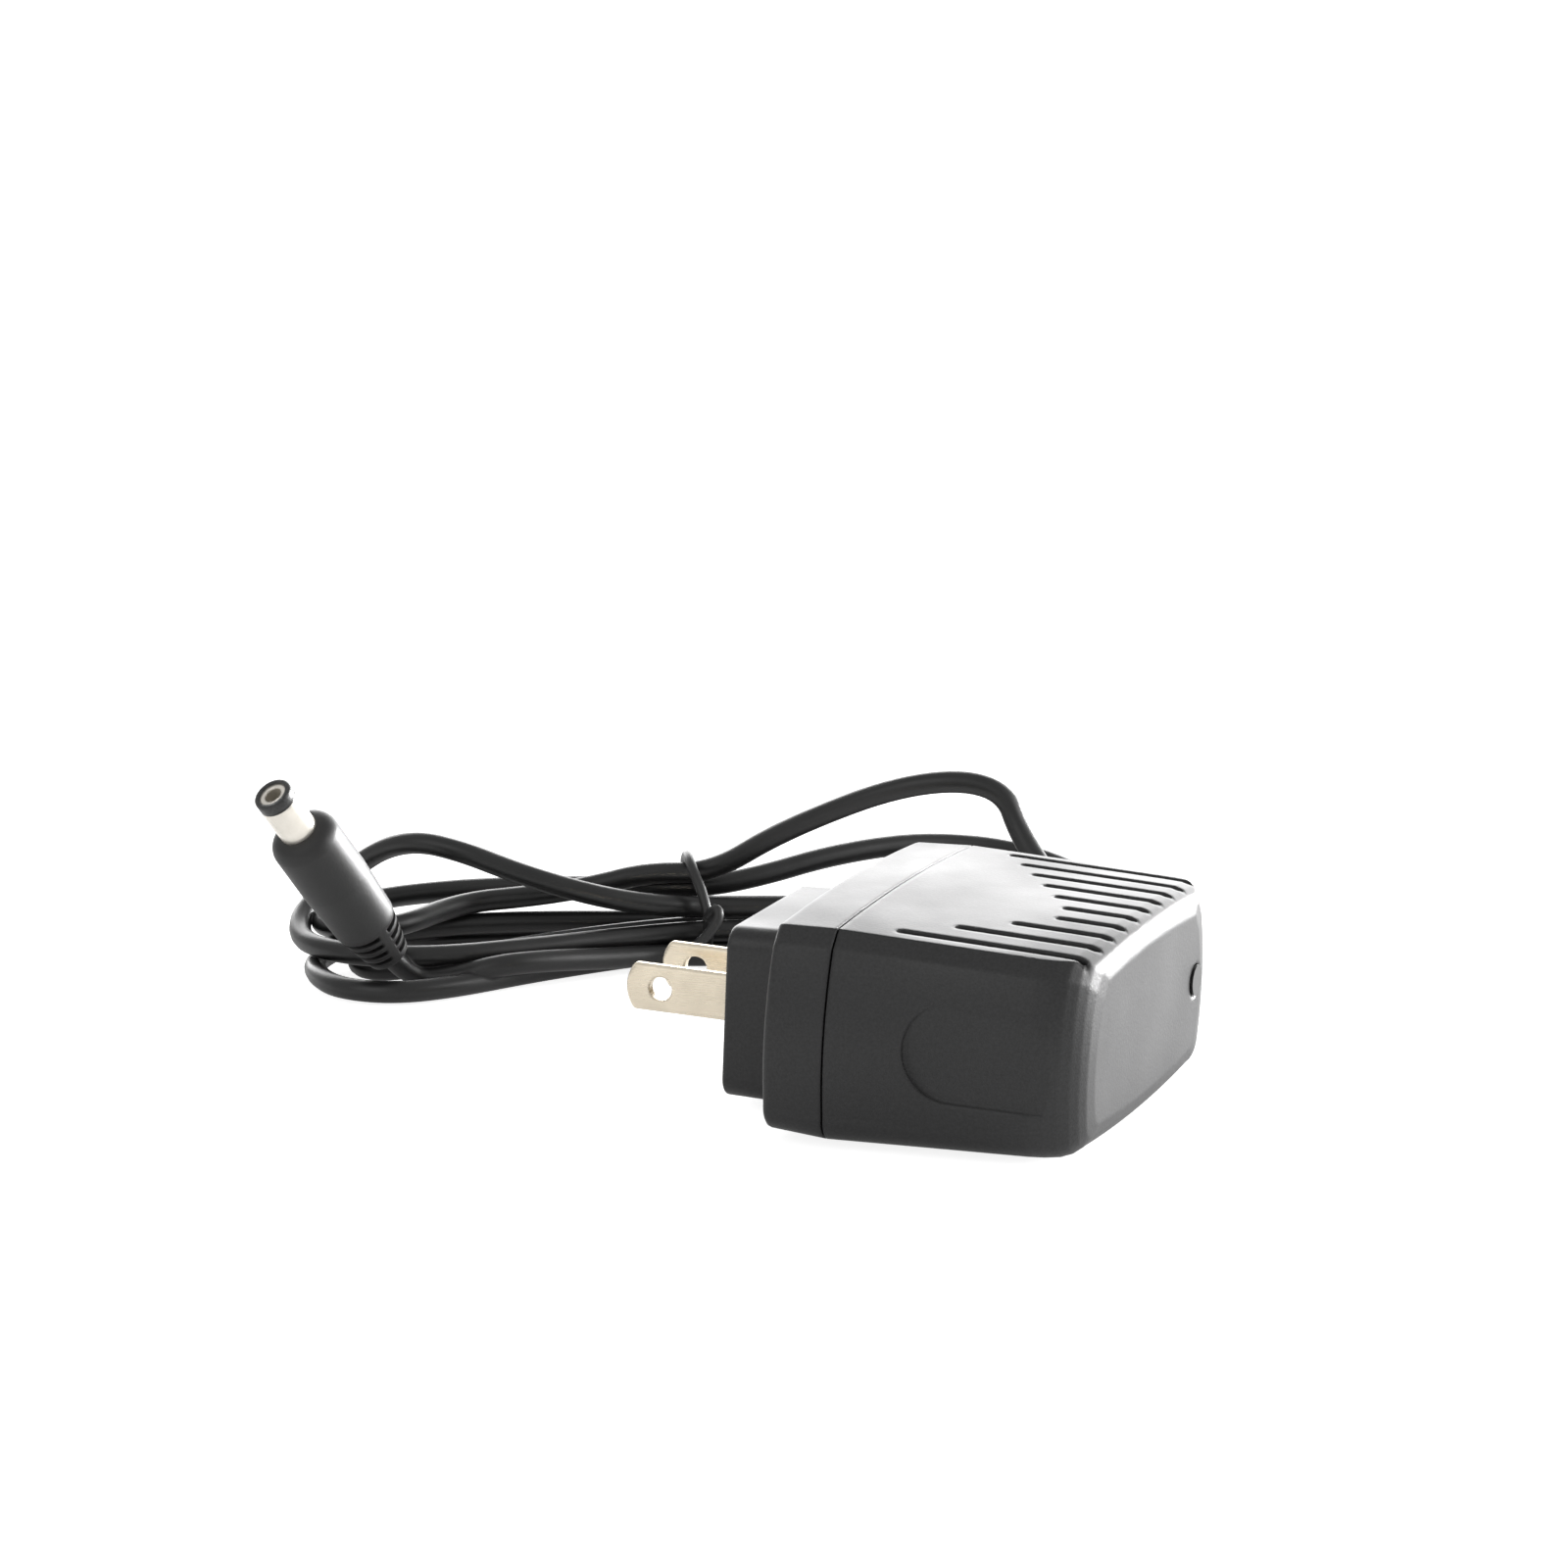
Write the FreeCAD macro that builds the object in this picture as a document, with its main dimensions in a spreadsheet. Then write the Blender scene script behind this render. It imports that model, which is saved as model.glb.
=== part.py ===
import FreeCAD, Part
import Sketcher
import math
import os

from FreeCAD import Placement, Rotation, Vector

# Plug-in power adapter with two flat blades, a vented two-part housing and a coiled cord with a
# barrel plug. Everything in the adapter is drawn in its own frame: x runs from the nose face to
# the end face, y across, z up from the blades' plane. The adapter is then tipped by the draft of
# its underside, so that it lies on the table, and the cord is drawn on the table.

SIZES = {
    # blades
    "blade_length": 17.0,
    "blade_width": 6.35,
    "blade_thickness": 1.5,
    "blade_spacing": 12.7,
    "blade_hole_diameter": 3.2,
    "blade_hole_from_face": 12.1,
    "blade_tip_sagitta": 1.15,
    "blade_chamfer": 0.4,
    "hole_chamfer": 0.15,
    "blade_corner": 0.8,
    "blade_tang": 6.5,
    # nose
    "nose_length": 11.0,
    "nose_width": 30.0,
    "nose_height": 22.8,
    "nose_corner": 2.8,
    "nose_draft": 3.5,
    "nose_edge": 0.45,
    "nose_wall": 2.6,
    # outer section at the parting plane
    "top_edge_half": 26.5,
    "top_edge_height": 16.45,
    "bevel_out": 1.95,
    "bevel_drop": 2.25,
    "side_half": 30.6,
    "side_height": 2.8,
    "low_side_half": 29.9,
    "low_side_depth": 7.5,
    "base_edge_half": 26.6,
    "base_edge_depth": 11.1,
    "crown": 0.83,
    # cover and housing
    "cover_length": 8.4,
    "housing_length": 34.0,
    "wall": 2.0,
    "parting_gap": 0.3,
    "lip_length": 2.0,
    "fit_gap": 0.05,
    "top_draft": 1.3,
    "base_draft": 2.9,
    "side_draft": 0.5,
    "cover_draft": 2.6,
    "cover_edge": 0.9,
    "end_corner": 7.0,
    "end_edge": 3.2,
    # grille
    "slot_count": 10,
    "slot_pitch": 5.25,
    "slot_width": 1.8,
    "slot_end_from_face": 1.7,
    "grille_apex_x": 46.6,
    "grille_apex_y": -7.5,
    "grille_lean": 0.275,
    "grille_spread": 0.915,
    "grille_round": 3.3,
    # thumb grips
    "grip_height": 12.9,
    "grip_start": 29.8,
    "grip_depth": 0.9,
    "grip_axis": 3.0,
    # indicator
    "lens_diameter": 4.2,
    "lens_y": 20.6,
    "lens_z": 3.3,
    "lens_proud": 0.35,
    "lens_gap": 0.2,
    # cord gland on the far side
    "gland_x": 25.0,
    "gland_hole": 6.0,
    "gland_flange": 9.0,
    "gland_flange_thick": 1.4,
    "gland_out": 15.5,
    "gland_root": 7.4,
    "gland_tip": 4.4,
    # circuit board
    "board_z": -6.4,
    "board_thick": 1.6,
    "board_start": 14.0,
    "board_length": 33.4,
    "board_width": 51.0,
    "board_rib": 1.5,
    # components
    "core_length": 20.0,
    "core_depth": 20.0,
    "core_limb": 5.6,
    "core_height": 10.5,
    "bobbin_flange": 1.1,
    "bobbin_height": 15.6,
    "input_can_diameter": 8.0,
    "input_can_length": 14.0,
    "output_can_diameter": 8.0,
    "output_can_length": 13.0,
    "yoke_depth": 3.2,
    "bobbin_wall": 1.2,
    "part_gap": 0.3,
    "rectifier_length": 4.0,
    "rectifier_width": 8.0,
    "rectifier_height": 6.5,
    "fuse_diameter": 3.4,
    "fuse_length": 9.5,
    "choke_flange": 7.0,
    "choke_core": 4.0,
    "choke_height": 9.2,
    "choke_plate": 1.2,
    "disc_diameter": 7.5,
    "disc_thick": 3.0,
    "chip_length": 9.2,
    "chip_width": 6.4,
    "chip_height": 3.4,
    "coupler_length": 4.6,
    "sink_thick": 1.2,
    "sink_width": 14.0,
    "sink_height": 13.0,
    "diode_width": 10.0,
    "diode_height": 9.0,
    "lead_diameter": 1.2,
    # cord and plug
    "cord_diameter": 3.2,
    "barrel_diameter": 5.5,
    "barrel_bore": 2.5,
    "barrel_length": 7.8,
    "barrel_band": 1.7,
    "barrel_wall": 0.35,
    "contact_wall": 0.3,
    "contact_lip": 4.1,
    "head_diameter": 10.0,
    "head_length": 19.5,
    "relief_length": 7.6,
    "relief_root": 9.2,
    "relief_tip": 6.2,
    "relief_slot": 0.85,
    "relief_pitch": 1.65,
    "relief_web": 1.5,
    "relief_slots": 4,
    "relief_core": 4.2,
    # hank
    "hank_height": 14.0,
    "hank_waist_near": 8.8,
    "hank_waist_far": 5.4,
    "hank_left": 62.0,
    "hank_left_near": 10.5,
    "hank_left_far": 16.5,
    "hank_right": 61.0,
    "hank_right_near": 13.0,
    "hank_right_far": 14.0,
    "tie_thick": 0.8,
    "tie_band": 1.6,
}

doc = FreeCAD.newDocument("power_adapter")
sheet = doc.addObject("Spreadsheet::Sheet", "sizes")
for row, (alias, size) in enumerate(SIZES.items(), start=1):
    sheet.set("A%d" % row, alias)
    sheet.set("B%d" % row, str(size))
    sheet.setAlias("B%d" % row, alias)
doc.recompute()

PARTS = []
ON_TABLE = []


def size(alias):
    return float(sheet.get(alias))


def keep(obj, label, on_table=False):
    obj.Label = label
    PARTS.append(obj)
    if on_table:
        ON_TABLE.append(obj)
    return obj


# Stations along the adapter, all from the same sizes.
def parting_x():
    return size("nose_length") + size("cover_length")


def end_x():
    return parting_x() + size("housing_length")


def rise(angle, run):
    return math.tan(math.radians(angle)) * run


def board_top():
    return size("board_z") + size("board_thick")


# Sketch helpers
def origin_plane(body, role):
    for feature in body.Origin.OriginFeatures:
        if feature.Role == role:
            return feature
    raise ValueError(role)


def new_sketch(body, name, role, offset="0"):
    sketch = body.newObject("Sketcher::SketchObject", name)
    sketch.AttachmentSupport = (origin_plane(body, role), [""])
    sketch.MapMode = "FlatFace"
    sketch.setExpression(".AttachmentOffset.Base.z", offset)
    return sketch


def flat(u, v):
    return Vector(u, v, 0)


def line(sketch, start, end):
    return sketch.addGeometry(Part.LineSegment(flat(*start), flat(*end)), False)


def arc(sketch, start, middle, end):
    curve = Part.Arc(flat(*start), flat(*middle), flat(*end))
    return sketch.addGeometry(curve, False)


def circle(sketch, centre, diameter_expression):
    index = sketch.addGeometry(Part.Circle(flat(*centre), Vector(0, 0, 1), 1.0), False)
    rule = "d%d_%s" % (index, sketch.Name)
    sketch.addConstraint([
        _named("Diameter", (index, 2.0), rule),
        _named("DistanceX", (-1, 1, index, 3, centre[0]), rule + "_u"),
        _named("DistanceY", (-1, 1, index, 3, centre[1]), rule + "_v"),
    ])
    sketch.setExpression("Constraints." + rule, diameter_expression)
    return index


def _named(kind, values, name):
    rule = Sketcher.Constraint(kind, *values)
    rule.Name = name
    return rule


def rectangle(sketch, left, bottom, right, top, width_rule=None, height_rule=None):
    corners = [(left, bottom), (right, bottom), (right, top), (left, top)]
    first = None
    for index in range(4):
        edge = line(sketch, corners[index], corners[(index + 1) % 4])
        first = edge if first is None else first
    rules = []
    for index in range(4):
        rules.append(_named("Coincident", (first + index, 2, first + (index + 1) % 4, 1), ""))
    rules.append(_named("Horizontal", (first,), ""))
    rules.append(_named("Horizontal", (first + 2,), ""))
    rules.append(_named("Vertical", (first + 1,), ""))
    rules.append(_named("Vertical", (first + 3,), ""))
    sketch.addConstraint(rules)
    tag = "%s_%d" % (sketch.Name, first)
    spans = [
        _named("DistanceX", (first, 1, first, 2, right - left), "w_" + tag),
        _named("DistanceY", (first + 1, 1, first + 1, 2, top - bottom), "h_" + tag),
        _named("DistanceX", (-1, 1, first, 1, left), "u_" + tag),
        _named("DistanceY", (-1, 1, first, 1, bottom), "v_" + tag),
    ]
    sketch.addConstraint(spans)
    if width_rule:
        sketch.setExpression("Constraints.w_" + tag, width_rule)
    if height_rule:
        sketch.setExpression("Constraints.h_" + tag, height_rule)
    return first


def rounded_rectangle(sketch, left, bottom, right, top, radius):
    bend = radius * (1 - math.sqrt(0.5))
    line(sketch, (left + radius, bottom), (right - radius, bottom))
    arc(sketch, (right - radius, bottom), (right - bend, bottom + bend), (right, bottom + radius))
    line(sketch, (right, bottom + radius), (right, top - radius))
    arc(sketch, (right, top - radius), (right - bend, top - bend), (right - radius, top))
    line(sketch, (right - radius, top), (left + radius, top))
    arc(sketch, (left + radius, top), (left + bend, top - bend), (left, top - radius))
    line(sketch, (left, top - radius), (left, bottom + radius))
    arc(sketch, (left, bottom + radius), (left + bend, bottom + bend), (left + radius, bottom))


# Outer section of the body, drawn in the plane across the adapter. The inset gives the inner
# surfaces; the falls are what the drafts take off at a station away from the parting plane, and
# the turns what a rounded edge takes off the sides and the flats close to an end.
def body_section(sketch, inset, falls=(0.0, 0.0, 0.0), side_turn=0.0, flat_turn=0.0):
    top_fall, base_rise, side_fall = falls
    sides = side_fall + side_turn
    top_half = size("top_edge_half") - sides - 0.6 * inset
    top_z = size("top_edge_height") - top_fall - inset - flat_turn
    shoulder_half = size("top_edge_half") + size("bevel_out") - sides - inset
    shoulder_z = size("top_edge_height") - size("bevel_drop") - top_fall - 0.4 * inset - flat_turn
    side_half = size("side_half") - sides - inset
    side_z = size("side_height")
    low_half = size("low_side_half") - sides - inset
    low_z = -size("low_side_depth") + 0.5 * base_rise + 0.8 * flat_turn
    base_half = size("base_edge_half") - sides - 0.7 * inset
    base_z = -size("base_edge_depth") + base_rise + inset + flat_turn
    turn_half = base_half + 0.72 * (low_half - base_half)
    turn_z = base_z + 0.28 * (low_z - base_z)
    crown = size("crown")
    arc(sketch, (-top_half, top_z), (0, top_z + crown), (top_half, top_z))
    line(sketch, (top_half, top_z), (shoulder_half, shoulder_z))
    arc(sketch, (shoulder_half, shoulder_z), (side_half, side_z), (low_half, low_z))
    arc(sketch, (low_half, low_z), (turn_half, turn_z), (base_half, base_z))
    arc(sketch, (base_half, base_z), (0, base_z - crown), (-base_half, base_z))
    arc(sketch, (-base_half, base_z), (-turn_half, turn_z), (-low_half, low_z))
    arc(sketch, (-low_half, low_z), (-side_half, side_z), (-shoulder_half, shoulder_z))
    line(sketch, (-shoulder_half, shoulder_z), (-top_half, top_z))


def section_at(body, name, offset, inset, falls=(0.0, 0.0, 0.0), side_turn=0.0, flat_turn=0.0):
    sketch = new_sketch(body, name, "YZ_Plane", offset)
    body_section(sketch, inset, falls, side_turn, flat_turn)
    return sketch


# What a quarter round of this radius takes off at a distance from the face it ends on
def turn_at(radius, distance):
    if distance >= radius:
        return 0.0
    return radius - math.sqrt(radius ** 2 - (radius - distance) ** 2)


def loft_between(body, kind, name, first, *others):
    feature = body.newObject(kind, name)
    feature.Profile = first
    feature.Sections = list(others)
    feature.Ruled = True
    return feature


def pad(body, name, sketch, length, symmetric=False, reverse=False):
    feature = body.newObject("PartDesign::Pad", name)
    feature.Profile = sketch
    feature.setExpression("Length", length)
    if symmetric:
        feature.Midplane = True
    feature.Reversed = reverse
    return feature


def pocket(body, name, sketch, length, symmetric=False, reverse=False):
    feature = body.newObject("PartDesign::Pocket", name)
    feature.Profile = sketch
    feature.setExpression("Length", length)
    if symmetric:
        feature.Midplane = True
    feature.Reversed = reverse
    return feature


def edges_where(shape, test):
    names = []
    for index, edge in enumerate(shape.Edges, start=1):
        if test(edge):
            names.append("Edge%d" % index)
    return names


def round_edges(body, name, base, names, radius):
    feature = body.newObject("PartDesign::Fillet", name)
    feature.Base = (base, names)
    feature.setExpression("Radius", radius)
    return feature


def bevel_edges(body, name, test, width):
    base = (body.Tip, edges_where(body.Shape, test))
    feature = body.newObject("PartDesign::Chamfer", name)
    feature.Base = base
    feature.setExpression("Size", width)
    doc.recompute()
    return feature


# Shares of the corner radius, from where the rounding starts to the end face
END_STATIONS = (1.0, 0.7, 0.45, 0.27, 0.14, 0.05, 0.0)
FRONT_STATIONS = (0.0, 0.15, 0.5, 1.0)


def housing_falls(x):
    run = x - parting_x()
    return rise(size("top_draft"), run), rise(size("base_draft"), run), rise(size("side_draft"), run)


def slot_rows():
    count = int(size("slot_count"))
    for index in range(count):
        yield (index - (count - 1) / 2.0) * size("slot_pitch")


def slot_start(y):
    away = y - size("grille_apex_y")
    reach = math.hypot(size("grille_round"), size("grille_spread") * away)
    return size("grille_apex_x") + size("grille_lean") * away - reach


def make_rear_housing():
    body = doc.addObject("PartDesign::Body", "rear_housing")
    whole = "sizes.nose_length + sizes.cover_length + sizes.housing_length"
    stations = [section_at(body, "housing_open", "sizes.nose_length + sizes.cover_length"
                           " + sizes.parting_gap / 2", 0.0)]
    # The closed end is rounded in plan by the corner and in height by the edge radius
    for index, share in enumerate(END_STATIONS):
        distance = share * size("end_corner")
        stations.append(section_at(body, "housing_end_%d" % index,
                                   whole + " - %.3f * sizes.end_corner" % share, 0.0,
                                   housing_falls(end_x() - distance),
                                   turn_at(size("end_corner"), distance),
                                   turn_at(size("end_edge"), distance)))
    loft_between(body, "PartDesign::AdditiveLoft", "housing_outside", *stations)
    doc.recompute()

    # Inside, with the wall left at the end
    inner_x = end_x() - size("wall") - size("end_corner") / 2
    mouth = section_at(body, "cavity_mouth", "sizes.nose_length + sizes.cover_length - 1",
                       size("wall"))
    bottom = section_at(body, "cavity_bottom", whole + " - sizes.wall - sizes.end_corner / 2",
                        size("wall"), housing_falls(inner_x))
    loft_between(body, "PartDesign::SubtractiveLoft", "cavity", mouth, bottom)
    doc.recompute()
    deep = new_sketch(body, "cavity_end", "YZ_Plane",
                      whole + " - sizes.wall - sizes.end_corner / 2 - 0.5")
    top_fall, base_rise, side_fall = housing_falls(end_x())
    inner_half = size("side_half") - side_fall - size("end_corner")
    rectangle(deep, -inner_half, -size("base_edge_depth") + base_rise + size("wall") + 2.0,
              inner_half, size("top_edge_height") - top_fall - size("wall") - 2.0)
    pocket(body, "cavity_end_cut", deep, "sizes.end_corner / 2 + 0.5", reverse=True)
    doc.recompute()

    # Locating lip that enters the cover
    lip = new_sketch(body, "lip_section", "YZ_Plane", "sizes.nose_length + sizes.cover_length"
                     " - sizes.lip_length")
    body_section(lip, size("wall") / 2 + size("fit_gap"))
    body_section(lip, size("wall"))
    pad(body, "lip", lip, "sizes.lip_length + sizes.parting_gap / 2 + 0.2")
    doc.recompute()

    # Grille of parallel slots in the top
    slots = new_sketch(body, "grille_slots", "XY_Plane", "sizes.top_edge_height - sizes.wall - 4")
    last = end_x() - size("slot_end_from_face")
    half_width = size("slot_width") / 2
    for y in slot_rows():
        first = slot_start(y)
        line(slots, (first, y - half_width), (last - half_width, y - half_width))
        arc(slots, (last - half_width, y - half_width), (last, y), (last - half_width, y + half_width))
        line(slots, (last - half_width, y + half_width), (first, y + half_width))
        arc(slots, (first, y + half_width), (first - half_width, y), (first, y - half_width))
    pocket(body, "grille", slots, "12", reverse=True)
    doc.recompute()

    # Thumb grips, one on each side, open towards the closed end
    radius = size("grip_height") / 2
    floor_half = size("side_half") - size("grip_depth")
    for side, label in ((-1, "near"), (1, "far")):
        grip = new_sketch(body, "grip_" + label, "XZ_Plane", "%.4f" % (-side * floor_half))
        centre = size("grip_start") + radius
        top = size("grip_axis") + radius
        low = size("grip_axis") - radius
        beyond_end = end_x() + 2.0
        line(grip, (centre, low), (beyond_end, low))
        line(grip, (beyond_end, low), (beyond_end, top))
        line(grip, (beyond_end, top), (centre, top))
        arc(grip, (centre, top), (centre - radius, size("grip_axis")), (centre, low))
        pocket(body, "grip_cut_" + label, grip, "5", reverse=side < 0)
        doc.recompute()

    # Round hole for the cord gland in the far side and for the indicator in the end
    hole = new_sketch(body, "gland_hole", "XZ_Plane", "-sizes.side_half - 2")
    circle(hole, (size("gland_x"), 0.0), "sizes.gland_hole + 2 * sizes.fit_gap")
    pocket(body, "gland_opening", hole, "sizes.wall + 5", reverse=True)
    doc.recompute()
    lens = new_sketch(body, "lens_hole", "YZ_Plane", "sizes.nose_length + sizes.cover_length"
                      " + sizes.housing_length + 1")
    circle(lens, (size("lens_y"), size("lens_z")), "sizes.lens_diameter + 2 * sizes.lens_gap")
    pocket(body, "lens_opening", lens, "12")
    doc.recompute()

    # Ribs on the floor that carry the circuit board
    ribs = new_sketch(body, "board_ribs", "XY_Plane", "sizes.board_z")
    for y in (-18.0, 18.0):
        rectangle(ribs, parting_x() + 2.0, y - size("board_rib") / 2, parting_x() + 24.0,
                  y + size("board_rib") / 2, None, "sizes.board_rib")
    rib_pad = body.newObject("PartDesign::Pad", "board_rib_pads")
    rib_pad.Profile = ribs
    rib_pad.Reversed = True
    rib_pad.setExpression("Length", "sizes.base_edge_depth + sizes.board_z - sizes.wall / 2")
    doc.recompute()
    return keep(body, "rear_housing")


def make_front_cover():
    body = doc.addObject("PartDesign::Body", "front_cover")
    fall = rise(size("cover_draft"), size("cover_length"))
    stations = []
    for index, share in enumerate(FRONT_STATIONS):
        turn = turn_at(size("cover_edge"), share * size("cover_edge"))
        stations.append(section_at(body, "cover_front_%d" % index,
                                   "sizes.nose_length + %.3f * sizes.cover_edge" % share, 0.0,
                                   (fall, fall, fall), turn, turn))
    stations.append(section_at(body, "cover_back", "sizes.nose_length + sizes.cover_length"
                               " - sizes.parting_gap / 2", 0.0))
    loft_between(body, "PartDesign::AdditiveLoft", "cover_outside", *stations)
    doc.recompute()

    # Nose, wider towards the cover on three sides
    half = size("nose_width") / 2
    high = size("nose_height") / 2
    grow = rise(size("nose_draft"), size("nose_length"))
    corner = size("nose_corner")
    tip = new_sketch(body, "nose_front", "YZ_Plane", "0")
    rounded_rectangle(tip, -half, -high, half, high, corner)
    root = new_sketch(body, "nose_back", "YZ_Plane", "sizes.nose_length + sizes.cover_edge + 0.3")
    rounded_rectangle(root, -half - grow / 2, -high, half + grow / 2, high + grow, corner)
    loft_between(body, "PartDesign::AdditiveLoft", "nose", tip, root)
    doc.recompute()
    names = edges_where(body.Shape, lambda edge: edge.BoundBox.XMax < 0.01)
    round_edges(body, "nose_round", body.Tip, names, "sizes.nose_edge")
    doc.recompute()

    # Hollow behind the front wall, stepped for the housing's lip
    mouth = new_sketch(body, "cover_hollow", "YZ_Plane", "sizes.nose_length + sizes.cover_length + 1")
    body_section(mouth, size("wall") + 0.4)
    pocket(body, "cover_cavity", mouth, "sizes.cover_length + 1 - sizes.wall")
    doc.recompute()
    rebate = new_sketch(body, "cover_rebate", "YZ_Plane", "sizes.nose_length + sizes.cover_length + 1")
    body_section(rebate, size("wall") / 2)
    pocket(body, "lip_seat", rebate, "sizes.lip_length + 1")
    doc.recompute()
    inside = new_sketch(body, "nose_hollow", "YZ_Plane", "sizes.nose_length + sizes.wall + 0.5")
    wall = size("nose_wall")
    rounded_rectangle(inside, -half + wall, -high + wall, half - wall, high - wall, 1.5)
    pocket(body, "nose_cavity", inside, "sizes.nose_length + sizes.wall + 0.5 - sizes.nose_wall - 1")
    doc.recompute()

    # Slots that the blades are pressed through
    slots = new_sketch(body, "blade_slots", "YZ_Plane", "sizes.nose_wall + 6")
    reach_y = size("blade_thickness") / 2 + size("fit_gap")
    reach_z = size("blade_width") / 2 + size("fit_gap")
    for side in (-1, 1):
        centre = side * size("blade_spacing") / 2
        rectangle(slots, centre - reach_y, -reach_z, centre + reach_y, reach_z)
    pocket(body, "blade_passages", slots, "sizes.nose_wall + 8")
    doc.recompute()
    return keep(body, "front_cover")


def make_blade(name, side):
    body = doc.addObject("PartDesign::Body", name)
    outline = new_sketch(body, name + "_outline", "XZ_Plane",
                         "%d * sizes.blade_spacing / 2 - sizes.blade_thickness / 2" % -side)
    half = size("blade_width") / 2
    tip = -size("blade_length")
    shoulder = tip + size("blade_tip_sagitta")
    back = size("blade_tang")
    line(outline, (back, -half), (back, half))
    line(outline, (back, half), (shoulder, half))
    arc(outline, (shoulder, half), (tip, 0), (shoulder, -half))
    line(outline, (shoulder, -half), (back, -half))
    pad(body, name + "_pad", outline, "sizes.blade_thickness")
    doc.recompute()
    corners = edges_where(body.Shape, lambda edge: edge.BoundBox.YLength > 1
                          and edge.BoundBox.XMax < -size("blade_hole_from_face"))
    round_edges(body, name + "_corners", body.Tip, corners, "sizes.blade_corner")
    doc.recompute()

    def outer_rim(edge):
        extent = edge.BoundBox
        return extent.YLength < 0.01 and extent.XMin < back - 0.5
    bevel_edges(body, name + "_bevel", outer_rim, "sizes.blade_chamfer")
    hole = new_sketch(body, name + "_hole", "XZ_Plane",
                      "%d * sizes.blade_spacing / 2 - sizes.blade_thickness" % -side)
    circle(hole, (-size("blade_hole_from_face"), 0.0), "sizes.blade_hole_diameter")
    pocket(body, name + "_hole_cut", hole, "2 * sizes.blade_thickness", reverse=True)
    doc.recompute()

    def hole_rim(edge):
        return isinstance(edge.Curve, Part.Circle) and edge.isClosed()
    bevel_edges(body, name + "_hole_bevel", hole_rim, "sizes.hole_chamfer")
    return keep(body, name)


# Simple solids with their sizes bound to the sheet
def box(name, length, width, height, corner):
    solid = doc.addObject("Part::Box", name)
    solid.setExpression("Length", length)
    solid.setExpression("Width", width)
    solid.setExpression("Height", height)
    solid.Placement = Placement(Vector(*corner), Rotation())
    return solid


def cylinder(name, diameter, height, centre, axis=Vector(0, 0, 1)):
    solid = doc.addObject("Part::Cylinder", name)
    solid.setExpression("Radius", "(%s) / 2" % diameter)
    solid.setExpression("Height", height)
    solid.Placement = Placement(Vector(*centre), Rotation(Vector(0, 0, 1), axis))
    return solid


def joined(name, pieces):
    union = doc.addObject("Part::MultiFuse", name)
    union.Shapes = pieces
    return union


def cut(name, base, tool):
    result = doc.addObject("Part::Cut", name)
    result.Base = base
    result.Tool = tool
    return result


def softened(name, base, radius, test):
    doc.recompute()
    result = doc.addObject("Part::Fillet", name)
    result.Base = base
    rounds = []
    for index, edge in enumerate(base.Shape.Edges, start=1):
        if test(edge):
            rounds.append((index, size(radius) if isinstance(radius, str) else radius,
                           size(radius) if isinstance(radius, str) else radius))
    result.Edges = rounds
    return result


def make_board():
    length = "sizes.board_length"
    plate = box("board_plate", length, "sizes.board_width", "sizes.board_thick",
                (size("board_start"), -size("board_width") / 2, size("board_z")))
    rounded = softened("board_rounded", plate, 2.0,
                       lambda edge: edge.BoundBox.ZLength > 1 and edge.BoundBox.XLength < 0.01)
    return keep(rounded, "circuit_board")


def transformer_centre():
    front = size("board_start") + 1.0 + size("rectifier_length") + 0.5
    return (front + size("core_length") / 2, 0.0)


def make_transformer():
    cx, cy = transformer_centre()
    depth = size("core_depth")
    length = size("core_length")
    middle = board_top() + size("bobbin_height") / 2
    low = middle - size("core_height") / 2
    outer = box("core_block", "sizes.core_length", "sizes.core_depth", "sizes.core_height",
                (cx - length / 2, cy - depth / 2, low))
    window = box("core_window", "sizes.core_length - 2 * sizes.core_limb", "sizes.core_depth + 2",
                 "sizes.core_height", (cx - length / 2 + size("core_limb"), cy - depth / 2 - 1, low))
    limbs = cut("core_limbs", outer, window)
    # Two yokes close the limbs above the bobbin's winding room
    yoke = size("yoke_depth")
    yoke_low = box("core_yoke_front", "sizes.core_length", "sizes.yoke_depth", "sizes.core_height",
                   (cx - length / 2, cy - depth / 2, low))
    yoke_high = box("core_yoke_back", "sizes.core_length", "sizes.yoke_depth", "sizes.core_height",
                    (cx - length / 2, cy + depth / 2 - yoke, low))
    core = joined("core_frame", [limbs, yoke_low, yoke_high])
    keep(core, "transformer_core")

    room = length - 2 * size("core_limb") - 2 * size("fit_gap")
    span = depth - 2 * yoke - 2 * size("fit_gap")
    flange = size("bobbin_flange")
    wall = size("bobbin_wall")
    tube_height = "sizes.core_height - 2 * sizes.bobbin_wall"
    tube_low = middle - size("core_height") / 2 + wall
    plates = []
    for tag, y in (("front", cy - span / 2), ("back", cy + span / 2 - flange)):
        plate = box("bobbin_plate_" + tag, "%.4f" % room, "sizes.bobbin_flange",
                    "sizes.bobbin_height", (cx - room / 2, y, board_top()))
        plates.append(plate)
    tube = box("bobbin_tube", "%.4f" % (room - 2 * wall), "%.4f" % span, tube_height,
               (cx - room / 2 + wall, cy - span / 2, tube_low))
    keep(joined("bobbin_frame", plates + [tube]), "transformer_bobbin")

    coil = box("winding_block", "%.4f" % (room - 0.2), "%.4f" % (span - 2 * flange - 0.1),
               "sizes.bobbin_height - 1.6",
               (cx - room / 2 + 0.1, cy - span / 2 + flange + 0.05, board_top() + 0.8))
    hollow = box("winding_room", "%.4f" % (room - 2 * wall), "%.4f" % (span + 2), tube_height,
                 (cx - room / 2 + wall, cy - span / 2 - 1, tube_low))
    keep(cut("winding_ring", coil, hollow), "transformer_winding")


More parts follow.
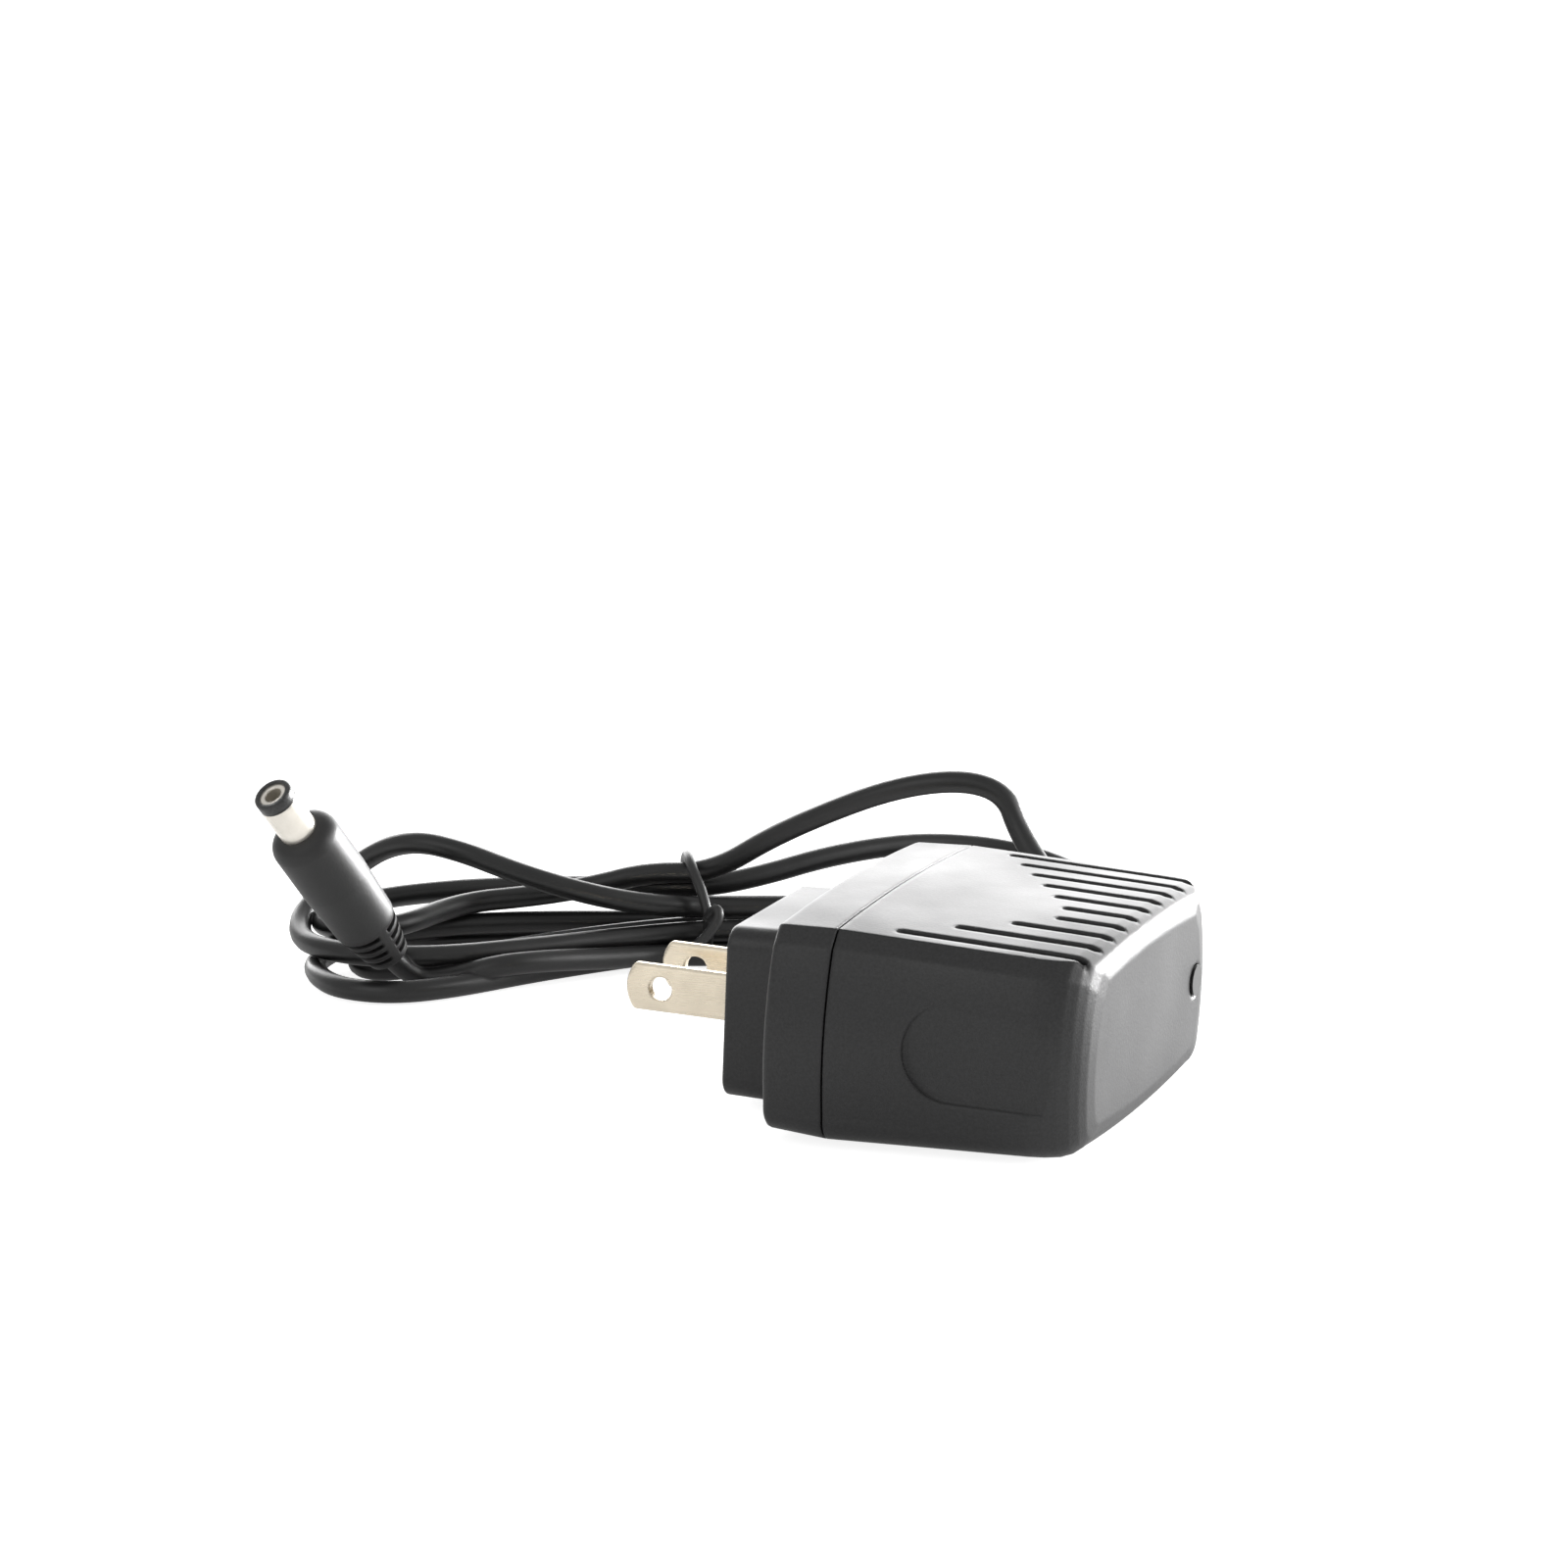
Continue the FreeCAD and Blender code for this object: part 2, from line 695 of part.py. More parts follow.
def make_can(name, diameter, length, centre):
    can = cylinder(name + "_can", diameter, length, (centre[0], centre[1], board_top()))
    rolled = softened(name + "_rolled", can, 0.6, lambda edge: edge.BoundBox.ZLength < 0.01
                      and edge.BoundBox.ZMin > board_top() + 1)
    return keep(rolled, name)


def make_components():
    start = size("board_start")
    last = start + size("board_length")
    top = board_top()
    gap = size("part_gap")
    cx, cy = transformer_centre()
    core_side = size("core_depth") / 2
    core_end = cx + size("core_length") / 2
    input_y = -core_side - 5.5 - size("input_can_diameter") / 2
    make_can("input_capacitor_left", "sizes.input_can_diameter", "sizes.input_can_length",
             (start + 3.5 + size("input_can_diameter") / 2, input_y))
    make_can("input_capacitor_right", "sizes.input_can_diameter", "sizes.input_can_length",
             (start + 5.0 + 1.5 * size("input_can_diameter"), input_y))
    output_y = core_side + 1.0 + size("output_can_diameter") / 2
    make_can("output_capacitor_left", "sizes.output_can_diameter", "sizes.output_can_length",
             (last - gap - size("output_can_diameter") / 2, output_y))
    make_can("output_capacitor_right", "sizes.output_can_diameter", "sizes.output_can_length",
             (last - 2.4 - 1.5 * size("output_can_diameter"), output_y + 3.5))

    rectifier = box("rectifier_block", "sizes.rectifier_length", "sizes.rectifier_width",
                    "sizes.rectifier_height", (start + 1.0, -0.7 * size("rectifier_width"), top))
    keep(rectifier, "bridge_rectifier")
    fuse = cylinder("fuse_rod", "sizes.fuse_diameter", "sizes.fuse_length",
                    (start + 3.0, core_side + 2.5, top + size("fuse_diameter") / 2), Vector(0, 1, 0))
    keep(fuse, "fuse_resistor")

    # Drum choke: a spool with its copper between the two plates
    choke = (last - 5.0, -core_side - 7.5 - size("choke_flange") / 2)
    plate = size("choke_plate")
    rod = cylinder("choke_rod", "sizes.choke_core", "sizes.choke_height", (choke[0], choke[1], top))
    low_plate = cylinder("choke_low", "sizes.choke_flange", "sizes.choke_plate",
                         (choke[0], choke[1], top))
    high_plate = cylinder("choke_high", "sizes.choke_flange", "sizes.choke_plate",
                          (choke[0], choke[1], top + size("choke_height") - plate))
    keep(joined("choke_frame", [rod, low_plate, high_plate]), "input_choke")
    turns = "sizes.choke_height - 2 * sizes.choke_plate"
    wire = cylinder("choke_wire", "sizes.choke_flange - 0.6", turns, (choke[0], choke[1], top + plate))
    bore = cylinder("choke_bore", "sizes.choke_core", turns, (choke[0], choke[1], top + plate))
    keep(cut("choke_turns", wire, bore), "choke_winding")

    disc = cylinder("disc_body", "sizes.disc_diameter", "sizes.disc_thick",
                    (last - 8.5, -core_side - 3.8 - size("disc_thick"), top + size("disc_diameter") / 2),
                    Vector(0, 1, 0))
    keep(disc, "safety_capacitor")
    coupler_y = core_side + 0.4
    coupler = box("coupler_block", "sizes.coupler_length", "sizes.chip_width", "sizes.chip_height",
                  (start + 8.0, coupler_y, top))
    keep(coupler, "optocoupler")
    chip = box("chip_block", "sizes.chip_length", "sizes.chip_width", "sizes.chip_height",
               (start + 5.2, coupler_y + size("chip_width") + 0.5, top))
    keep(chip, "control_chip")
    sink_x = last - 3.6
    sink = box("sink_plate", "sizes.sink_thick", "sizes.sink_width", "sizes.sink_height",
               (sink_x, -0.64 * size("sink_width"), top))
    keep(sink, "heat_sink")
    diode = box("diode_block", "%.4f" % (sink_x - core_end - gap), "sizes.diode_width",
                "sizes.diode_height", (core_end + gap, -0.7 * size("diode_width"), top))
    keep(diode, "output_diode")


def make_lead(name, points, diameter):
    path = smooth_path([Vector(*point) for point in points])
    ring = Part.Wire(Part.makeCircle(diameter / 2, Vector(*points[0]),
                                     Vector(*points[1]) - Vector(*points[0])))
    lead = doc.addObject("Part::Feature", name)
    lead.Shape = path.makePipeShell([ring], True, False)
    return keep(lead, name)


# A route of straight runs joined by tangent arcs, as large as the two runs allow
def smooth_path(points, report=None, corner=None):
    edges = []
    start = points[0]
    for index in range(1, len(points) - 1):
        back = points[index - 1] - points[index]
        ahead = points[index + 1] - points[index]
        turn = math.pi - back.getAngle(ahead)
        shorter = min(back.Length, ahead.Length)
        trim = 0.45 * shorter if corner is None else corner
        radius = trim / math.tan(turn / 2)
        back.normalize()
        ahead.normalize()
        first = points[index] + back * trim
        second = points[index] + ahead * trim
        inward = back + ahead
        inward.normalize()
        centre = points[index] + inward * (radius / math.cos(turn / 2))
        middle = centre - inward * radius
        if (first - start).Length > 1e-6:
            edges.append(Part.LineSegment(start, first).toShape())
        edges.append(Part.Arc(first, middle, second).toShape())
        start = second
        if report is not None:
            report.append(round(radius, 1))
    edges.append(Part.LineSegment(start, points[-1]).toShape())
    return Part.Wire(edges)


def make_leads():
    tang = size("blade_tang") - 1.5
    for side, name in ((-1, "input_lead_near"), (1, "input_lead_far")):
        radius = size("lead_diameter") / 2
        y = side * (size("blade_spacing") / 2 + size("blade_thickness") / 2 + radius)
        top = board_top() + radius
        board = size("board_start")
        points = [(tang, y, -1.0), (tang + 5.0, y, -1.0), (board + 0.8, y, top), (board + 3.4, y, top)]
        make_lead(name, points, size("lead_diameter"))


def rest_placement():
    return Placement(Vector(0, 0, 0), Rotation(Vector(0, 1, 0), size("base_draft")))


def make_gland():
    axis_x = size("gland_x")
    outer_wall = size("side_half")
    profile = doc.addObject("PartDesign::Body", "gland_body")
    sketch = new_sketch(profile, "gland_profile", "XY_Plane", "0")
    inside = outer_wall - size("wall")
    flange_half = size("gland_flange") / 2
    neck = size("gland_hole") / 2
    root = size("gland_root") / 2
    tip = size("gland_tip") / 2
    lead = size("cord_diameter") / 2
    start = inside - size("gland_flange_thick") - 0.25
    collar = outer_wall + 0.3
    finish = collar + size("gland_out")
    outline = [
        (axis_x, start),
        (axis_x + flange_half, start),
        (axis_x + flange_half, inside - 0.25),
        (axis_x + neck, inside - 0.25),
        (axis_x + neck, collar),
        (axis_x + root, collar),
        (axis_x + root, collar + 1.6),
        (axis_x + tip, finish),
        (axis_x, finish),
    ]
    for index in range(len(outline)):
        line(sketch, outline[index], outline[(index + 1) % len(outline)])
    turn = profile.newObject("PartDesign::Revolution", "gland_turned")
    turn.Profile = sketch
    axis = sketch.addGeometry(Part.LineSegment(flat(axis_x, start), flat(axis_x, finish)), True)
    turn.ReferenceAxis = (sketch, ["Axis0"])
    turn.Angle = 360
    doc.recompute()
    return keep(profile, "strain_relief"), finish


def make_indicator():
    back = 5.5
    base_x = end_x() - back
    stem = cylinder("lens_stem", "sizes.lens_diameter - 0.4", "%.3f" % (back + size("lens_proud") - 0.4),
                    (base_x, size("lens_y"), size("lens_z")), Vector(1, 0, 0))
    rim = cylinder("lens_rim", "sizes.lens_diameter + 1", "1",
                   (base_x, size("lens_y"), size("lens_z")), Vector(1, 0, 0))
    face = cylinder("lens_face", "sizes.lens_diameter", "1.6",
                    (end_x() + size("lens_proud") - 1.6, size("lens_y"), size("lens_z")), Vector(1, 0, 0))
    keep(joined("lens_body", [stem, rim, face]), "indicator_lens")
    y = size("lens_y")
    points = [(base_x, y, size("lens_z")), (base_x - 3.0, y, size("lens_z")),
              (base_x - 3.0, y, board_top())]
    make_lead("indicator_lead", points, 0.8)


# The plug's frame: its axis runs from the cord end to the open tip
PLUG_ROOT = Vector(-86.7, 28.5, 6.3)
PLUG_AXIS = Vector(-0.197, -0.610, 0.767)
PLUG_TWIST = -125.0


def plug_placement():
    axis = Vector(PLUG_AXIS)
    axis.normalize()
    twist = Rotation(Vector(0, 0, 1), PLUG_TWIST)
    return Placement(PLUG_ROOT, Rotation(Vector(0, 0, 1), axis).multiply(twist))


def make_plug():
    place = plug_placement()
    relief = size("relief_length")
    head = size("head_length")
    shoulder = relief + head
    body = doc.addObject("PartDesign::Body", "plug_body")
    sketch = new_sketch(body, "plug_profile", "XZ_Plane", "0")
    tip_r = size("relief_tip") / 2
    root_r = size("relief_root") / 2
    head_r = size("head_diameter") / 2
    bore_r = size("barrel_diameter") / 2 - 0.6
    line(sketch, (0, 0), (tip_r, 0))
    line(sketch, (tip_r, 0), (root_r, relief))
    line(sketch, (root_r, relief), (head_r, relief + head * 0.45))
    line(sketch, (head_r, relief + head * 0.45), (head_r, shoulder - 2.2))
    arc(sketch, (head_r, shoulder - 2.2), (head_r - 0.75, shoulder - 0.65), (head_r - 2.3, shoulder))
    line(sketch, (head_r - 2.3, shoulder), (bore_r, shoulder))
    line(sketch, (bore_r, shoulder), (bore_r, shoulder - 5.0))
    line(sketch, (bore_r, shoulder - 5.0), (0, shoulder - 5.0))
    line(sketch, (0, shoulder - 5.0), (0, 0))
    turn = body.newObject("PartDesign::Revolution", "plug_turned")
    turn.Profile = sketch
    turn.ReferenceAxis = (sketch, ["V_Axis"])
    turn.Angle = 360
    doc.recompute()

    # Flexible slots in the relief, from both sides
    slots = new_sketch(body, "relief_slots", "XZ_Plane", "0")
    for index in range(int(size("relief_slots"))):
        low = 1.0 + index * size("relief_pitch")
        for side in (-1, 1):
            edge = size("relief_root") / 2 + 2
            inner = size("relief_web") / 2
            left, right = sorted((side * inner, side * edge))
            rectangle(slots, left, low, right, low + size("relief_slot"), None, "sizes.relief_slot")
    pocket(body, "relief_slot_cut", slots, "sizes.relief_root + 4", symmetric=True)
    doc.recompute()
    core = cylinder("relief_rod", "sizes.relief_core", "sizes.relief_length", (0, 0, 0))
    overmould = keep(joined("overmould_solid", [body, core]), "plug_overmould", True)
    overmould.Placement = place

    base = shoulder - 5.0
    sleeve_outer = cylinder("sleeve_outer", "sizes.barrel_diameter - 1.2", "5", (0, 0, base))
    sleeve_nose = cylinder("sleeve_nose", "sizes.barrel_diameter",
                           "sizes.barrel_length - sizes.barrel_band", (0, 0, shoulder))
    sleeve_solid = joined("sleeve_solid", [sleeve_outer, sleeve_nose])
    sleeve_bore = cylinder("sleeve_bore", "sizes.barrel_diameter - 2 * sizes.barrel_wall - 1.2",
                           "sizes.barrel_length + 6", (0, 0, base))
    sleeve = keep(cut("sleeve", sleeve_solid, sleeve_bore), "plug_sleeve", True)
    sleeve.Placement = place

    inner = "sizes.barrel_diameter - 2 * sizes.barrel_wall - 1.2"
    core = cylinder("insulator_core", inner, "sizes.barrel_length - sizes.barrel_band + 5", (0, 0, base))
    band = cylinder("insulator_band", "sizes.barrel_diameter", "sizes.barrel_band",
                    (0, 0, shoulder + size("barrel_length") - size("barrel_band")))
    band_soft = softened("insulator_soft", band, 0.35, lambda edge: edge.BoundBox.ZLength < 0.01
                         and edge.BoundBox.ZMin > shoulder + size("barrel_length") - 0.1)
    filled = joined("insulator_solid", [core, band_soft])
    bore = cylinder("insulator_bore", "sizes.barrel_bore + 2 * sizes.contact_wall",
                    "sizes.barrel_length + 6", (0, 0, base))
    lip_seat = cylinder("contact_lip_seat", "sizes.contact_lip", "1.5",
                        (0, 0, shoulder + size("barrel_length") - 0.8))
    bored = joined("insulator_bores", [bore, lip_seat])
    insulator = keep(cut("insulator", filled, bored), "plug_insulator", True)
    insulator.Placement = place

    tube = cylinder("contact_tube", "sizes.barrel_bore + 2 * sizes.contact_wall",
                    "sizes.barrel_length + 5 - 0.3", (0, 0, base))
    lip = cylinder("contact_lip", "sizes.contact_lip", "0.5",
                   (0, 0, shoulder + size("barrel_length") - 0.8))
    tube = joined("contact_lipped", [tube, lip])
    hollow = cylinder("contact_hollow", "sizes.barrel_bore", "sizes.barrel_length + 5",
                      (0, 0, base + 1.5))
    contact = keep(cut("contact", tube, hollow), "plug_contact", True)
    contact.Placement = place


# The hank lies on the table behind the adapter, drawn in its own plan frame: u along it from the
# tie, v across it
TIE_POINT = Vector(-53.5, 67.5, 0.0)
HANK_TURN = 31.0


def hank_placement():
    return Placement(TIE_POINT, Rotation(Vector(0, 0, 1), HANK_TURN))


def make_hank():
    body = doc.addObject("PartDesign::Body", "hank_body")
    sketch = new_sketch(body, "hank_plan", "XY_Plane", "0.05")
    near = -size("hank_waist_near")
    far = size("hank_waist_far")
    left = -size("hank_left")
    right = size("hank_right")
    left_near = (left + 13.0, -size("hank_left_near"))
    left_far = (left + 13.0, size("hank_left_far"))
    right_near = (right - 14.0, -size("hank_right_near"))
    right_far = (right - 14.0, size("hank_right_far"))
    sag = 0.8
    arc(sketch, left_near, (left_near[0] / 2, (left_near[1] + near) / 2 + sag), (0, near))
    arc(sketch, (0, near), (right_near[0] / 2, (right_near[1] + near) / 2 + sag), right_near)
    arc(sketch, right_near, (right, (right_near[1] + right_far[1]) / 2), right_far)
    arc(sketch, right_far, (right_far[0] / 2, (right_far[1] + far) / 2 - sag), (0, far))
    arc(sketch, (0, far), (left_far[0] / 2, (left_far[1] + far) / 2 - sag), left_far)
    arc(sketch, left_far, (left, (left_near[1] + left_far[1]) / 2), left_near)
    pad(body, "hank_block", sketch, "sizes.hank_height - 0.05")
    doc.recompute()
    hank = keep(body, "cord_hank", True)
    hank.Placement = hank_placement()

    thick = size("tie_thick")
    band = size("tie_band")
    play = 0.15
    low = 0.1
    outer = box("tie_outer", "sizes.tie_band",
                "sizes.hank_waist_near + sizes.hank_waist_far + 2 * sizes.tie_thick + %.3f" % (2 * play),
                "sizes.hank_height + sizes.tie_thick", (-band / 2, near - thick - play, low))
    inner = box("tie_inner", "sizes.tie_band + 2",
                "sizes.hank_waist_near + sizes.hank_waist_far + %.3f" % (2 * play),
                "sizes.hank_height + 2", (-band / 2 - 1, near - play, low - 2))
    frame = cut("tie_frame", outer, inner)
    twist = cylinder("tie_twist", "1.5", "7", (0, near - thick - 0.3, 9.5), Vector(-0.3, -0.35, -0.5))
    tie = keep(joined("tie_ring", [frame, twist]), "twist_tie", True)
    tie.Placement = hank_placement()
    return hank


# Routes of the two loose stretches on the table, points chosen by eye
ADAPTER_ROUTE = [
    (-4.1, 68.8, 22.2),
    (-11.0, 66.3, 29.0),
    (-20.0, 61.9, 28.3),
    (-33.5, 65.4, 22.7),
    (-44.4, 66.4, 17.5),
    (-52.8, 67.8, 11.7),
]
PLUG_ROUTE = [
    (-83.8, 32.9, 2.1),
    (-78.4, 33.0, 3.1),
    (-72.2, 34.6, 3.5),
    (-66.6, 40.6, 3.1),
    (-61.8, 48.6, 2.4),
    (-56.8, 56.8, 1.9),
    (-50.2, 63.0, 1.8),
]


def make_run(name, points, blocker=None):
    report = []
    path = smooth_path(points, report)
    radius = size("cord_diameter") / 2
    ring = Part.Wire(Part.makeCircle(radius, points[0], points[1] - points[0]))
    tube = path.makePipeShell([ring], True, False)
    expected = math.pi * radius ** 2 * path.Length
    print(name, "radii", report, "length %.1f" % path.Length,
          "volume ratio %.4f" % (tube.Volume / expected))
    if blocker is not None:
        tube = tube.cut(blocker)
        tube = max(tube.Solids, key=lambda solid: solid.Volume)
    run = doc.addObject("Part::Feature", name)
    run.Shape = tube
    return keep(run, name, True)


make_rear_housing()
make_front_cover()
make_blade("blade_near", -1)
make_blade("blade_far", 1)
make_board()
make_transformer()
make_components()
make_leads()
make_indicator()
gland, gland_end = make_gland()
doc.recompute()

# Tip the adapter onto its underside and stand it on the table, centred
tipped = rest_placement()
loose = [obj for obj in PARTS if obj not in ON_TABLE]
bounds = FreeCAD.BoundBox()
for obj in loose:
    if obj.Label == "strain_relief":
        continue
    shape = obj.Shape.copy()
    shape.Placement = tipped.multiply(shape.Placement)
    bounds.add(shape.optimalBoundingBox(False))
shift = Vector(-(bounds.XMin + bounds.XMax) / 2, -(bounds.YMin + bounds.YMax) / 2, -bounds.ZMin)
standing = Placement(shift, Rotation()).multiply(tipped)
for obj in loose:
    obj.Placement = standing.multiply(obj.Placement)
doc.recompute()

make_plug()
hank = make_hank()
doc.recompute()
exit_point = standing.multVec(Vector(size("gland_x"), gland_end, 0.0))
adapter_points = [exit_point, exit_point + Vector(0, 12.8, 0)] + [Vector(*point) for point in ADAPTER_ROUTE]
make_run("cord_from_adapter", adapter_points, hank.Shape)
plug_start = plug_placement().multVec(Vector(0, 0, 0))
plug_next = plug_placement().multVec(Vector(0, 0, -4.6))
plug_points = [plug_start, plug_next] + [Vector(*point) for point in PLUG_ROUTE]
make_run("cord_to_plug", plug_points, hank.Shape)
doc.recompute()
print("standing", standing.Base, "exit", exit_point)

broken = [obj.Name for obj in doc.Objects if "Invalid" in obj.State or "Error" in obj.State]
if broken:
    raise RuntimeError("failed: " + ", ".join(broken))
os.makedirs("parts", exist_ok=True)
for obj in PARTS:
    if obj.Shape.isNull() or not obj.Shape.isValid():
        raise RuntimeError("bad shape: " + obj.Label)
    if len(obj.Shape.Solids) != 1:
        print("note", obj.Label, "has", len(obj.Shape.Solids), "solids")
    obj.Shape.exportStep("parts/%s.step" % obj.Label)
print(len(PARTS), "parts")
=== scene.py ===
import bmesh
import bpy
from mathutils import Matrix, Vector


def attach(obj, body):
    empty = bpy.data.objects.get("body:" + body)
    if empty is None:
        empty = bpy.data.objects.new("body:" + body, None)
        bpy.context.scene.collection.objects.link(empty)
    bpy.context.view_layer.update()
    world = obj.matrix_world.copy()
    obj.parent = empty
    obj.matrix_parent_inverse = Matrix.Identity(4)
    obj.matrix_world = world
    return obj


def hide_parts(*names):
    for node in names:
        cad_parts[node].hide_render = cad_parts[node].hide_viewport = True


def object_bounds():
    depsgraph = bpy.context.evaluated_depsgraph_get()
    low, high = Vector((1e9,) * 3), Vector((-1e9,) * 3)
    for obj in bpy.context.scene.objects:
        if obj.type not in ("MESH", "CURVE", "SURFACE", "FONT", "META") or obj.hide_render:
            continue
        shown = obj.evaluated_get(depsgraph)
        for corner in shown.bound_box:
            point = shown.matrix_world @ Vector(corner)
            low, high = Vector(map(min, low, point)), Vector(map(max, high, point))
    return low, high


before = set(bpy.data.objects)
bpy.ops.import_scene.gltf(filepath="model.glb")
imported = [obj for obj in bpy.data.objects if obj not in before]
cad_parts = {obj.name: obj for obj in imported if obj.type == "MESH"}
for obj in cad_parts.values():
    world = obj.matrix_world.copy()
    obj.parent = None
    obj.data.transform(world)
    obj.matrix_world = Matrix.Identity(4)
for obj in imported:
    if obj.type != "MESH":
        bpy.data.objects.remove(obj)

CAD_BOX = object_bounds()

bl_info = {
    "name": "Power Adapter",
    "version": (1, 0, 0),
    "blender": (4, 5, 0),
    "location": "3D View > Sidebar > Adapter",
    "description": "Finishes a plug-in power adapter with its coiled cord",
    "category": "Object",
}

# The cord's own line in millimetres: from the gland, through the tie and round both ends of the
# hank, to the plug
CORD_ROUTE = [
    (6.5, 46.4, 11.6), (6.5, 59.2, 11.6), (-3.9, 65.5, 20.4), (-7.4, 67.0, 28.6),
    (-20.4, 64.5, 28.6), (-40.3, 65.4, 20.0), (-52.8, 67.8, 12.0),
    (-61.2, 64.0, 12.4), (-69.3, 61.0, 10.2), (-77.4, 58.0, 8.9), (-87.0, 55.0, 7.9),
    (-90.9, 40.4, 7.0), (-98.4, 39.4, 6.2), (-105.0, 43.5, 6.0), (-105.6, 51.4, 6.4),
    (-99.8, 57.2, 7.4), (-89.1, 60.7, 8.6), (-76.5, 63.0, 9.4), (-63.8, 65.3, 9.8),
    (-54.4, 69.0, 9.6), (-47.4, 74.9, 10.6), (-39.5, 82.9, 12.6), (-30.1, 92.6, 13.2),
    (-20.6, 100.1, 11.8), (-12.1, 103.5, 9.4), (-4.4, 99.3, 7.8), (-4.4, 90.6, 6.8),
    (-12.3, 82.4, 6.6), (-25.4, 75.1, 7.2), (-39.8, 69.9, 7.6), (-51.8, 64.6, 7.8),
    (-56.0, 60.0, 8.5), (-62.3, 55.5, 9.9), (-69.1, 52.0, 12.0), (-76.9, 50.0, 14.5),
    (-83.7, 48.0, 17.3), (-91.0, 48.0, 18.4), (-98.3, 50.0, 15.9), (-105.3, 52.0, 10.3),
    (-108.1, 45.8, 7.4), (-105.8, 39.0, 5.0), (-99.3, 33.0, 4.9), (-89.9, 31.0, 4.9),
    (-80.3, 34.4, 4.9), (-70.7, 43.7, 4.8), (-61.0, 54.8, 4.6), (-51.0, 63.4, 4.6),
    (-38.5, 67.8, 4.4), (-24.4, 71.5, 4.4), (-12.2, 78.3, 4.2), (-4.5, 87.0, 3.8),
    (-3.7, 96.3, 3.6), (-10.6, 100.9, 3.6), (-21.8, 98.2, 4.0), (-33.6, 88.8, 4.4),
    (-44.4, 77.6, 4.5), (-54.4, 69.0, 4.6), (-66.3, 63.5, 4.8), (-79.2, 57.9, 5.0),
    (-91.1, 52.5, 4.6), (-100.3, 46.4, 3.0), (-102.8, 37.9, 1.8), (-98.6, 29.9, 1.7),
    (-92.1, 23.9, 1.7), (-83.7, 23.7, 1.7), (-77.1, 30.0, 1.7), (-70.0, 42.5, 1.7),
    (-61.0, 54.8, 1.7), (-51.9, 64.8, 1.7), (-40.3, 70.8, 1.7), (-27.3, 76.3, 1.7),
    (-15.0, 83.0, 1.7), (-7.7, 90.3, 1.7), (-7.4, 97.5, 1.7), (-13.3, 101.6, 1.7),
    (-23.7, 99.4, 1.7), (-35.2, 89.5, 1.7), (-44.9, 78.5, 1.7), (-55.2, 70.4, 1.7),
    (-67.0, 64.8, 1.7), (-80.3, 59.8, 1.7), (-90.2, 54.8, 1.7), (-97.5, 47.5, 1.7),
    (-97.3, 39.4, 1.7), (-91.3, 34.3, 1.8), (-83.4, 39.5, 2.6), (-74.1, 49.3, 3.6),
    (-62.2, 58.8, 4.4), (-52.8, 66.3, 4.5), (-42.4, 74.2, 4.6), (-31.1, 82.7, 4.4),
    (-20.5, 90.2, 3.6), (-11.5, 92.7, 3.0), (-7.0, 87.2, 2.4), (-11.8, 79.7, 1.9),
    (-24.1, 72.9, 1.7), (-37.9, 66.8, 1.7), (-48.0, 59.8, 1.8), (-56.8, 56.8, 1.9),
    (-61.8, 48.6, 2.8), (-66.6, 40.6, 4.0), (-72.2, 34.6, 4.2), (-78.8, 33.9, 2.1),
    (-85.3, 32.8, 1.7), (-86.7, 28.5, 6.3),
]

# Routes of the coated wire that ties the hank, in millimetres
TIE_ROUTE = [
    (-51.6, 61.6, 0.8), (-49.6, 59.6, 4.4), (-50.2, 59.4, 9.6), (-53.8, 62.6, 14.4),
    (-56.4, 67.6, 15.0), (-58.2, 71.2, 12.4), (-58.0, 73.0, 7.0), (-57.0, 72.9, 1.8),
    (-54.8, 69.0, 0.8), (-52.6, 64.6, 0.8), (-50.6, 60.6, 2.4), (-49.6, 58.6, 7.6),
]
TIE_END_ROUTE = [
    (-49.6, 58.6, 7.6), (-48.2, 58.0, 9.6), (-47.2, 57.4, 8.2), (-48.8, 56.8, 5.6),
    (-51.2, 56.4, 3.4), (-53.6, 56.8, 1.6),
]
MILLIMETRE = 0.001

# Middle part of a noise texture's output, where nearly all of its values lie
NOISE_LOW = 0.3
NOISE_HIGH = 0.7

# Sharp edges look rounded by this radius
EDGE_ROUNDING = 0.0005
HOUSING_ROUNDING = 0.0009

FLOOR_HALF = 4.0
FLOOR_GAP = 0.0002

# The camera as fitted to the photo: its place, the direction from the object to it, and its lens
CAMERA_PLACE = (0.22819, -0.64431, 0.18035)
CAMERA_BACK = (0.3095, -0.9203, 0.2394)
CAMERA_SENSOR = 36.0
CAMERA_LENS = 122.5
CAMERA_SHIFT = (-0.1241, 0.1422)
CAMERA_CLIP = 0.01

# Soft panels: setting with the power, place, width and height; all aim at the adapter
PANEL_AIM = (0.0, 0.02, 0.015)
PANELS = (
    ("back_light", (-0.5, 1.3, 0.42), 1.8, 0.8),
    ("end_light", (0.75, 1.1, 0.13), 0.9, 0.24),
    ("side_light", (1.1, 0.25, 0.45), 0.9, 0.8),
    ("fill_light", (-0.5, -1.3, 0.9), 1.2, 1.0),
)

# What rays see of the white room: glossy rays and diffuse rays find it dimmer than the camera does
FLOOR_GLOW = 0.85
FLOOR_MIRRORED = 0.35
ROOM_AMBIENT = 0.4
ROOM_MIRRORED = 0.6


